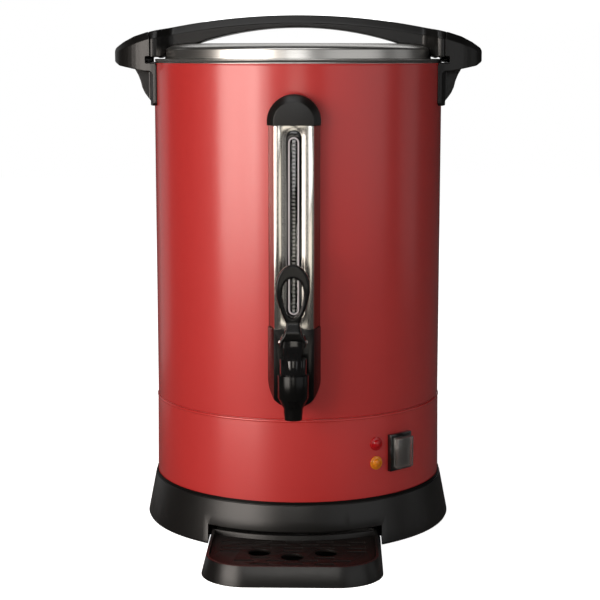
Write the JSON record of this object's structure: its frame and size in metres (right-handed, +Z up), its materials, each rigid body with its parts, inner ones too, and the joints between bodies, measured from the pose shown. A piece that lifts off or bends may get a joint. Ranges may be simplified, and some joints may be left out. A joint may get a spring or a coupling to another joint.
{
  "type": "coffee urn",
  "caption": "Cylindrical percolator urn with a twist-lock lid, side handles, a sight gauge, a pull-lever tap over a slide-out drip tray, a rocker switch and pilot lamps.",
  "frame": {"origin": "on the worktop under the tank's axis", "axes": "+Z up, -Y towards the tap and the drip tray, +X to the right of someone facing the tap"},
  "size_m": [0.325, 0.3623, 0.4493],
  "materials": {
    "red_paint": "semi-gloss red enamel on stainless sheet",
    "steel": "satin stainless sheet",
    "steel_bright": "bright plated or turned steel",
    "black_satin": "satin black heat-resistant plastic",
    "black_gloss": "glossy black plastic",
    "silicone": "translucent white silicone",
    "black_rubber": "black rubber",
    "clear": "clear plastic or glass tube",
    "red_lens": "translucent red plastic",
    "amber_lens": "translucent amber plastic",
    "aluminium": "cast aluminium",
    "brass": "plated brass",
    "ceramic": "white nylon",
    "wire": "heat-resistant insulation"
  },
  "bodies": {
    "urn": {"tank": "red_paint", "skirt": "red_paint", "base": "black_satin", "bottom_plate": "steel", "foot_ring": "black_rubber", "base_screws": "steel_bright", "side_handle_left": "black_satin", "side_handle_right": "black_satin", "handle_bolts": "steel_bright", "sealing_washers": "silicone", "handle_nuts": "steel_bright", "gauge_channel": "steel", "gauge_cap": "black_satin", "cap_screw": "steel_bright", "gauge_window": "black_gloss", "gauge_lens": "clear", "sight_tube": "clear", "tube_seals": "silicone", "tap_housing": "black_satin", "tap_body": "black_satin", "tap_shank": "steel_bright", "tap_nut": "steel_bright", "tap_seals": "silicone", "tap_bonnet": "black_gloss", "pivot_pin": "steel_bright", "switch_body": "black_gloss", "switch_cover": "clear", "red_lens": "red_lens", "amber_lens": "amber_lens", "lamp_holders": "ceramic", "mains_inlet": "black_gloss", "inlet_pins": "brass", "inlet_screws": "steel_bright", "terminal_block": "ceramic", "terminal_screws": "brass", "earth_stud": "brass", "wiring": "wire", "diffuser_plate": "aluminium", "heating_element": "steel", "thermostat": "black_satin", "thermal_cutout": "black_satin", "thermostat_screws": "steel_bright"},
    "seal": {"lid_seal": "black_rubber"},
    "lid": {"lid": "steel", "lid_handle": "black_satin", "lid_screws": "steel_bright"},
    "lever": {"tap_lever": "black_gloss"},
    "stem": {"tap_stem": "steel_bright", "seat_cup": "silicone", "tap_spring": "steel_bright"},
    "rocker": {"rocker": "black_gloss"},
    "tray": {"drip_tray": "black_satin"},
    "grid": {"drip_grid": "black_satin"},
    "pump": {"pump_tube": "steel", "pump_foot": "steel", "filter_basket": "steel"},
    "basket_lid": {"basket_lid": "steel"}
  },
  "joints": [
    {"name": "lid_lift", "type": "slide", "parent": "urn", "child": "seal", "axis": [0, 0, 1], "range_m": [0, 0.25]},
    {"name": "lid_turn", "type": "hinge", "parent": "seal", "child": "lid", "pos_m": [0, 0, 0.4113], "axis": [0, 0, 1], "range_deg": [0, 30]},
    {"name": "tap_lever", "type": "hinge", "parent": "urn", "child": "lever", "pos_m": [0, -0.164, 0.1855], "axis": [1, 0, 0], "range_deg": [0, 40], "stiffness_Nm_per_rad": 0.3, "springref_deg": -5.73},
    {"name": "tap_stem", "type": "slide", "parent": "urn", "child": "stem", "axis": [0, 0, 1], "range_m": [0, 0.0046], "deforming": ["tap_spring"]},
    {"name": "rocker", "type": "hinge", "parent": "urn", "child": "rocker", "pos_m": [0.08718, -0.09028, 0.0783], "axis": [0.7193, 0.6947, 0], "range_deg": [-20, 0]},
    {"name": "tray_slide", "type": "slide", "parent": "urn", "child": "tray", "axis": [0, -1, 0], "range_m": [0, 0.13]},
    {"name": "grid_lift", "type": "slide", "parent": "tray", "child": "grid", "axis": [0, 0, 1], "range_m": [0, 0.06]},
    {"name": "pump_lift", "type": "slide", "parent": "urn", "child": "pump", "axis": [0, 0, 1], "range_m": [0, 0.025]},
    {"name": "basket_lid_lift", "type": "slide", "parent": "pump", "child": "basket_lid", "axis": [0, 0, 1], "range_m": [0, 0.02]}
  ],
  "couplings": [
    {"joint": "tap_stem", "follows": "tap_lever", "m_per_rad": 0.0065}
  ]
}
